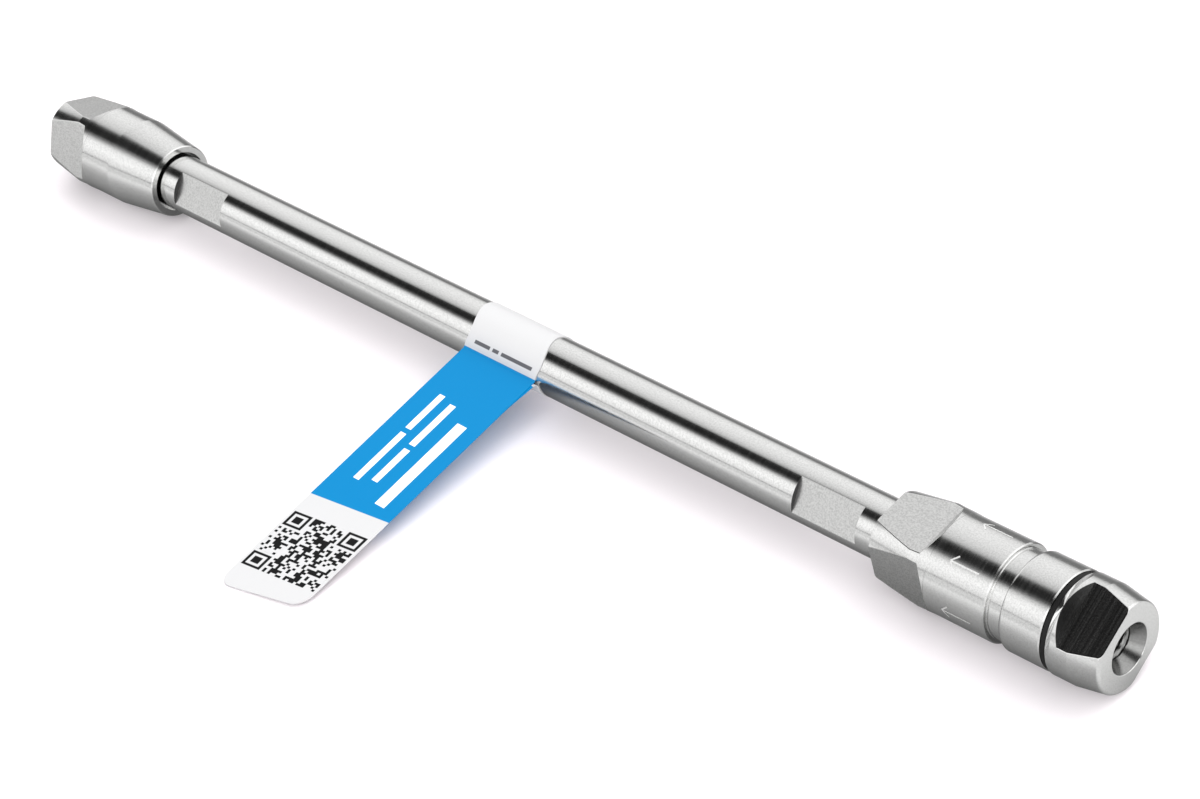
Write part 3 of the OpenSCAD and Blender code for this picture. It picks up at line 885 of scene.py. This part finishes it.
# %% The label's film
def film_label():
    """The open sheet, with u and v in millimetres as its UV layer."""
    side = FLAG_W / 2 - CORNER_R
    across = [-side - CORNER_R * math.sin(math.radians(a)) for a in range(90, 0, -9)]
    across += [-side + 2 * side * i / 16 for i in range(17)]
    across += [side + CORNER_R * math.sin(math.radians(a)) for a in range(9, 91, 9)]
    slant = math.tan(math.radians(FLAG_SLANT))

    def end_shift(u):
        """How far the end is cut back at u, for its slant and its round corners."""
        over = max(0.0, abs(u) - side)
        return u * slant + CORNER_R - math.sqrt(max(0.0, CORNER_R**2 - over**2))

    def place(v):
        """Point (y, z) of the film's middle at v, carried straight on beyond the path."""
        i = next((i for i in range(1, len(lengths)) if lengths[i] >= v), len(lengths) - 1)
        t = (v - lengths[i - 1]) / (lengths[i] - lengths[i - 1])
        (y0, z0), (y1, z1) = path[i - 1], path[i]
        return y0 + (y1 - y0) * t, z0 + (z1 - z0) * t

    total, mesh = lengths[-1], bmesh.new()
    uv = mesh.loops.layers.uv.new("print")
    grid = []
    for u in across:
        column, shift = [], end_shift(u)
        for v in lengths:
            if v < crease_v:
                v = v + shift * (1 - v / crease_v)
            elif v > back_v:
                v = v - shift * (v - back_v) / (total - back_v)
            y, z = place(v)
            column.append((mesh.verts.new(((strip_middle(v) + u) * MM, y * MM, z * MM)), (u, v)))
        grid.append(column)
    for a, b in zip(grid, grid[1:]):
        for i in range(len(lengths) - 1):
            quad = (a[i], a[i + 1], b[i + 1], b[i])
            face = mesh.faces.new([corner for corner, _ in quad])
            for loop, (_, (u, v)) in zip(face.loops, quad):
                loop[uv].uv = (u, v)
    made = bpy.data.meshes.new("label_film")
    mesh.normal_update()
    mesh.to_mesh(made)
    mesh.free()
    return made


sheet = bpy.data.objects.new("label_sheet", film_label())
bpy.context.scene.collection.objects.link(sheet)
thick = sheet.modifiers.new("thickness", "SOLIDIFY")
thick.thickness, thick.offset, thick.use_even_offset = FILM * MM * 0.96, 0.0, False
seen_now = bpy.context.evaluated_depsgraph_get()
film_mesh = bpy.data.meshes.new_from_object(sheet.evaluated_get(seen_now))
bpy.data.objects.remove(sheet)
print("film:", len(film_mesh.polygons), "faces,", FILM, "mm thick")

# %% [markdown]
# ## The print
# The film is white, with a blue field on each leaf. Where a label carries its text and its
# code, this one has plain bars and a field of random squares that says nothing. Each shape is
# drawn by comparing u and v with its edges: a small function returns 1 inside a box and 0
# outside, and the colours are mixed by it.

# %% Shapes of the print
PRINT_DOT = 0.04         # mm, how soft a printed edge is

film, ink = new_material("printed_label_film")
print_at = add(ink, "ShaderNodeSeparateXYZ", {0: add(ink, "ShaderNodeUVMap", uv_map="print")})
U, V = print_at.outputs["X"], print_at.outputs["Y"]


def edge(value, at):
    """0 below the edge and 1 above it, with a soft step of a printing dot."""
    ends = {0: value, 1: at - PRINT_DOT, 2: at + PRINT_DOT}
    return add(ink, "ShaderNodeMapRange", ends, interpolation_type="SMOOTHSTEP")


def box_shape(u0, u1, v0, v1, u=U, v=V):
    """1 inside the box from u0 to u1 and from v0 to v1, and 0 outside."""
    inside_u = add(ink, "ShaderNodeMath", {0: edge(u, u0), 1: edge(u, u1)}, operation="SUBTRACT")
    inside_v = add(ink, "ShaderNodeMath", {0: edge(v, v0), 1: edge(v, v1)}, operation="SUBTRACT")
    return add(ink, "ShaderNodeMath", {0: inside_u, 1: inside_v}, operation="MULTIPLY")


def join(shapes):
    """1 where any of the shapes is."""
    total = shapes[0]
    for shape in shapes[1:]:
        total = add(ink, "ShaderNodeMath", {0: total, 1: shape}, operation="MAXIMUM")
    return total


# %% [markdown]
# The upper leaf's blue field begins askew near the flag's end and stops at the fold, and the
# lower leaf has one too. White bars stand in for words, and small grey ones run beside the fold.

# %% Blue fields and bars
FIELD_FAR, FIELD_TILT = 15.9, math.tan(math.radians(7.0))    # mm from the flag's end, and its slope
FIELD_BACK = 1.0                                             # mm, white beyond the fold below
WRAP_EDGE = crease_v + 0.55                                  # mm, where the blue stops at the fold
# Bars as (u from, u to, v from, v to) in mm on the film
BARS = [
    (2.5, 4.2, 18.1, 33.0), (-0.85, 0.2, 20.7, 26.6), (-0.85, 0.2, 27.4, 34.9),
    (-3.4, -2.4, 19.8, 28.4), (-3.4, -2.4, 29.2, 35.5),
]
WORDS, WORDS_FROM, WORDS_TO = ((-5.1, -2.3), (-1.8, -0.7), (-0.2, 5.4)), 1.0, 1.55

askew = add(ink, "ShaderNodeMath", {0: U, 1: -FIELD_TILT, 2: V}, operation="MULTIPLY_ADD")
upper = {0: edge(askew, FIELD_FAR), 1: edge(V, WRAP_EDGE)}
lower = {0: edge(V, back_v + FIELD_BACK), 1: edge(V, lengths[-1] - FIELD_FAR)}
blue_upper = add(ink, "ShaderNodeMath", upper, operation="SUBTRACT")
blue_lower = add(ink, "ShaderNodeMath", lower, operation="SUBTRACT")
blue = add(ink, "ShaderNodeMath", {0: blue_upper, 1: blue_lower}, operation="ADD")
bars = join([box_shape(*bar) for bar in BARS])
words = join([box_shape(u0, u1, WRAP_EDGE + WORDS_FROM, WRAP_EDGE + WORDS_TO) for u0, u1 in WORDS])
print("blue from", FIELD_FAR, "to", round(WRAP_EDGE, 1), "mm along the strip,", len(BARS), "bars")

# %% [markdown]
# The square field is a grid of cells. A noise that gives each cell one random number decides
# which are inked, and three nested squares in its corners make it look like a code that a
# scanner could find, though there is nothing in it to read.

# %% Field of squares
CELL_U, CELL_V = 0.44, 0.345             # mm, one cell
CODE_CELLS, CODE_NEAR = 28, 3.1          # cells a side, and mm from the flag's end
CODE_SEED, INKED_FROM = 5.0, 0.52        # the field's seed, and the least number that is inked
CORNERS = ((0, 21, 7), (21, 21, 7), (0, 0, 7))    # first cell across and along, cells a side

code_u = add(ink, "ShaderNodeMath", {0: U, 1: CODE_CELLS / 2 * CELL_U}, operation="ADD")
code_v = add(ink, "ShaderNodeMath", {0: askew, 1: CODE_NEAR}, operation="SUBTRACT")
place = add(ink, "ShaderNodeCombineXYZ", {0: code_u, 1: code_v, 2: CODE_SEED})
in_cells = add(
    ink, "ShaderNodeVectorMath", {0: place, 1: (CELL_U, CELL_V, 1.0)}, operation="DIVIDE",
)
cell = add(ink, "ShaderNodeVectorMath", {0: in_cells}, operation="FLOOR")
chance = add(
    ink, "ShaderNodeTexWhiteNoise", {"Vector": cell}, noise_dimensions="3D",
).outputs["Value"]
inked = add(ink, "ShaderNodeMath", {0: chance, 1: INKED_FROM}, operation="GREATER_THAN")


def cell_box(u0, v0, cells):
    """A square of the code, counted in cells from its corner u0, v0."""
    low_u, low_v = u0 * CELL_U, v0 * CELL_V
    return box_shape(low_u, low_u + cells * CELL_U, low_v, low_v + cells * CELL_V, code_u, code_v)


whole = cell_box(0, 0, CODE_CELLS)
code = add(ink, "ShaderNodeMath", {0: inked, 1: whole}, operation="MULTIPLY")
for u0, v0, cells in CORNERS:
    squares = [cell_box(u0 + inset, v0 + inset, cells - 2 * inset) for inset in range(-1, 3)]
    margin, outer, middle, inner = squares
    bare = add(ink, "ShaderNodeMath", {0: 1.0, 1: margin}, operation="SUBTRACT")
    border = add(ink, "ShaderNodeMath", {0: outer, 1: middle}, operation="SUBTRACT")
    nested = add(ink, "ShaderNodeMath", {0: border, 1: inner}, operation="ADD")
    code = add(ink, "ShaderNodeMath", {0: code, 1: bare, 2: nested}, operation="MULTIPLY_ADD")
print("code:", CODE_CELLS, "cells a side,", len(ink.nodes), "nodes in the print so far")

# %% [markdown]
# The inks lie over one another in the order of printing: white film, blue, white bars, black
# and grey. The film is a little glossy, and a faint noise keeps it from being perfectly flat.

# %% The film's finish
FILM_SHADE, BLUE_INK, BLACK_INK, GREY_INK = "#C9C9CA", "#007CB6", "#0B0B0C", "#5A5A5E"
FILM_GRAIN = 0.9         # mm, the film's faint unevenness
LAYERS = ((blue, BLUE_INK), (bars, "#FFFFFF"), (code, BLACK_INK), (words, GREY_INK))

printed = colour(FILM_SHADE)
for shape, shade_of_ink in LAYERS:
    layer = {0: shape, 6: printed, 7: colour(shade_of_ink)}
    printed = add(ink, "ShaderNodeMix", layer, data_type="RGBA")
film_place = add(ink, "ShaderNodeTexCoord").outputs["Object"]
unevenness = add(ink, "ShaderNodeTexNoise", {
    "Vector": film_place, "Scale": 1 / (FILM_GRAIN * MM), "Detail": 3.0,
})
film_gloss = add(ink, "ShaderNodeMapRange", {0: unevenness, 3: 0.34, 4: 0.44})
film_bump = add(
    ink, "ShaderNodeBump", {"Height": unevenness, "Strength": 1.0, "Distance": 0.003 * MM},
)
shader = add(ink, "ShaderNodeBsdfPrincipled", {
    "Base Color": printed, "Roughness": film_gloss, "Normal": film_bump, "Specular IOR Level": 0.2,
})
add(ink, "ShaderNodeOutputMaterial", {"Surface": shader})
finish_mesh("label_film", film_mesh, [film], "column", ["label"])

# %% [markdown]
# ## The flow arrows
# Six arrows round the inlet nut's barrel show which way the liquid flows. Engraved lines scatter
# light, so they look bright. Grooves that fine would need a very dense barrel, so each line is a
# thin strip just above the steel, of rough steel painted lighter than steel is, as a highlight. A
# line that repeats round a cylinder is a job for Geometry Nodes: one arrow is drawn flat,
# repeated by angle, and bent round the barrel.

# %% One flow arrow
ARROW_TIP, ARROW_TAIL = -19.8, -15.6     # mm along the axis
ARROW_WING, ARROW_LINE = 0.9, 0.2        # mm, reach of each wing and width of a line


def arrow_mesh():
    """One arrow laid flat: three strips, whose points are (place along the axis, arc length)."""
    mesh = bmesh.new()

    def strip(a, b, steps):
        dx, dy = b[0] - a[0], b[1] - a[1]
        length = math.hypot(dx, dy)
        nx, ny = -dy / length * ARROW_LINE / 2, dx / length * ARROW_LINE / 2
        rows = []
        for i in range(steps + 1):
            x, y = a[0] + dx * i / steps, a[1] + dy * i / steps
            sides = ((x + nx, y + ny), (x - nx, y - ny))
            rows.append([mesh.verts.new((p * MM, q * MM, 0.0)) for p, q in sides])
        for one, two in zip(rows, rows[1:]):
            mesh.faces.new((one[0], one[1], two[1], two[0]))

    tip = (ARROW_TIP, 0.0)
    strip(tip, (ARROW_TAIL, 0.0), 24)
    for way in (1, -1):
        strip(tip, (ARROW_TIP + ARROW_WING, way * ARROW_WING), 10)
    made = bpy.data.meshes.new("arrow_strip")
    mesh.to_mesh(made)
    mesh.free()
    return made


one_arrow = arrow_mesh()
print("one arrow:", len(one_arrow.polygons), "faces")

# %% [markdown]
# Each copy is told its angle round the barrel before the copies are made real. Then every point
# is moved: its distance sideways becomes an angle, which is added to its copy's angle.

# %% Arrows round the barrel
ARROWS, ARROW_TURN, ARROW_PROUD = 6, 32.0, 0.012    # how many, degrees of the first, mm


def nodes_tree(name, numbers):
    """An empty Geometry Nodes tree with a named input for each number, and its two end nodes."""
    tree = bpy.data.node_groups.new(name, "GeometryNodeTree")
    tree.interface.new_socket("Geometry", in_out="INPUT", socket_type="NodeSocketGeometry")
    for label, value in numbers.items():
        kind = "NodeSocketInt" if isinstance(value, int) else "NodeSocketFloat"
        tree.interface.new_socket(label, in_out="INPUT", socket_type=kind)
    tree.interface.new_socket("Geometry", in_out="OUTPUT", socket_type="NodeSocketGeometry")
    return tree, add(tree, "NodeGroupInput"), add(tree, "NodeGroupOutput")


def run_nodes(name, mesh, tree, numbers):
    """Runs the tree on a mesh and returns the result as a plain mesh."""
    carrier = bpy.data.objects.new(name, mesh)
    bpy.context.scene.collection.objects.link(carrier)
    modifier = carrier.modifiers.new(name, "NODES")
    modifier.node_group = tree
    for item in tree.interface.items_tree:
        if item.in_out == "INPUT" and item.name in numbers:
            modifier[item.identifier] = numbers[item.name]
    seen_now = bpy.context.evaluated_depsgraph_get()
    made = bpy.data.meshes.new_from_object(carrier.evaluated_get(seen_now))
    bpy.data.objects.remove(carrier)
    return made


# Painted highlight: the lines' rough steel is lighter than any steel, so they show bright.
arrow_highlight_steel = steel("engraved_line_painted_highlight", "#F4F4F3", 0.62, 0.0, GRAIN_DEPTH, 0.03)
sizes = {
    "Count": ARROWS, "Barrel radius": (nut_r + ARROW_PROUD) * MM,
    "First angle": math.radians(ARROW_TURN),
}
tree, given, result = nodes_tree("arrows_round_barrel", sizes)
source, many, barrel, first = (given.outputs[name] for name in ("Geometry", *sizes))
line = add(tree, "GeometryNodeMeshLine", {"Count": many, "Offset": (0, 0, 0)})
copies = add(tree, "GeometryNodeInstanceOnPoints", {"Points": line, "Instance": source})
step = add(tree, "ShaderNodeMath", {0: 2 * math.pi, 1: many}, operation="DIVIDE")
which = add(tree, "GeometryNodeInputIndex")
angle = add(tree, "ShaderNodeMath", {0: which, 1: step, 2: first}, operation="MULTIPLY_ADD")
turned_copies = add(
    tree, "GeometryNodeStoreNamedAttribute",
    {"Geometry": copies, "Name": "turn", "Value": angle}, data_type="FLOAT", domain="INSTANCE",
)
real = add(tree, "GeometryNodeRealizeInstances", {0: turned_copies})
flat = add(tree, "ShaderNodeSeparateXYZ", {0: add(tree, "GeometryNodeInputPosition")})
turn = add(
    tree, "GeometryNodeInputNamedAttribute", {"Name": "turn"}, data_type="FLOAT",
).outputs["Attribute"]
bend = add(tree, "ShaderNodeMath", {0: flat.outputs["Y"], 1: barrel}, operation="DIVIDE")
around = add(tree, "ShaderNodeMath", {0: bend, 1: turn}, operation="ADD")
sine = add(tree, "ShaderNodeMath", {0: around}, operation="SINE")
cosine = add(tree, "ShaderNodeMath", {0: around}, operation="COSINE")
up = add(tree, "ShaderNodeMath", {0: cosine, 1: barrel}, operation="MULTIPLY")
out = add(tree, "ShaderNodeMath", {0: sine, 1: barrel}, operation="MULTIPLY")
back = add(tree, "ShaderNodeMath", {0: out, 1: -1.0}, operation="MULTIPLY")
bent = add(tree, "ShaderNodeCombineXYZ", {0: flat.outputs["X"], 1: back, 2: up})
placed = add(tree, "GeometryNodeSetPosition", {"Geometry": real, "Position": bent})
dressed = add(tree, "GeometryNodeSetMaterial", {"Geometry": placed, "Material": arrow_highlight_steel})
tree.links.new(dressed.outputs[0], result.inputs[0])
arrows = run_nodes("arrows_carrier", one_arrow, tree, sizes)
finish_mesh("flow_arrows", arrows, [], "column", [])

# %% [markdown]
# ## What is inside
# The bed, the frits, the guard cartridge and its washers show only when the column is opened,
# so they keep their CAD meshes. Their finishes are worked out as carefully: packed silica is a
# fine white powder, a frit is sintered from steel grains, and the cartridge's ends are sealed
# by a cream coloured plastic.

# %% Finishes of the inner pieces
def grainy(name, dark, light, size, depth, roughness, metallic=0.0):
    """A grainy solid: colour and bump from one noise, with grains of the size given in mm."""
    material, tree = new_material(name)
    place = add(tree, "ShaderNodeTexCoord").outputs["Object"]
    grains = add(tree, "ShaderNodeTexVoronoi", {"Vector": place, "Scale": 1 / (size * MM)})
    cloud = add(
        tree, "ShaderNodeTexNoise", {"Vector": place, "Scale": 1 / (size * 8 * MM), "Detail": 4.0},
    )
    mixed = add(
        tree, "ShaderNodeMath", {0: grains.outputs["Distance"], 1: cloud}, operation="MULTIPLY",
    )
    tint = add(
        tree, "ShaderNodeMix", {0: mixed, 6: colour(light), 7: colour(dark)}, data_type="RGBA",
    )
    polish = add(tree, "ShaderNodeMapRange", {0: cloud, 3: roughness - 0.06, 4: roughness + 0.06})
    bump = add(
        tree, "ShaderNodeBump",
        {"Height": grains.outputs["Distance"], "Strength": 1.0, "Distance": depth * MM},
    )
    shader = add(
        tree, "ShaderNodeBsdfPrincipled",
        {"Base Color": tint, "Roughness": polish, "Metallic": metallic, "Normal": bump},
    )
    add(tree, "ShaderNodeOutputMaterial", {"Surface": shader})
    return material


silica = grainy("packed_silica", "#D8D6CE", "#F4F3EE", 0.06, 0.01, 0.9)
sintered = grainy("sintered_steel_frit", "#4E4C49", "#A9A6A1", 0.09, 0.02, 0.5, 1.0)
seal_plastic = grainy("machined_seal_plastic", "#C9B78F", "#D9C9A4", 0.25, 0.004, 0.42)
INNER = {
    "packed_bed": silica, "guard_bed": silica, "outlet_frit": sintered, "inlet_frit": sintered,
    "guard_outlet_frit": sintered, "guard_inlet_frit": sintered,
    "outlet_frit_ring": seal_plastic, "inlet_frit_ring": seal_plastic,
    "guard_outlet_washer": seal_plastic, "guard_inlet_washer": seal_plastic,
    "cartridge_tube": drawn_steel,
}
for node, material in INNER.items():
    for slot in bpy.data.objects[node].material_slots:
        slot.material = material
    print(node, "wears", material.name)
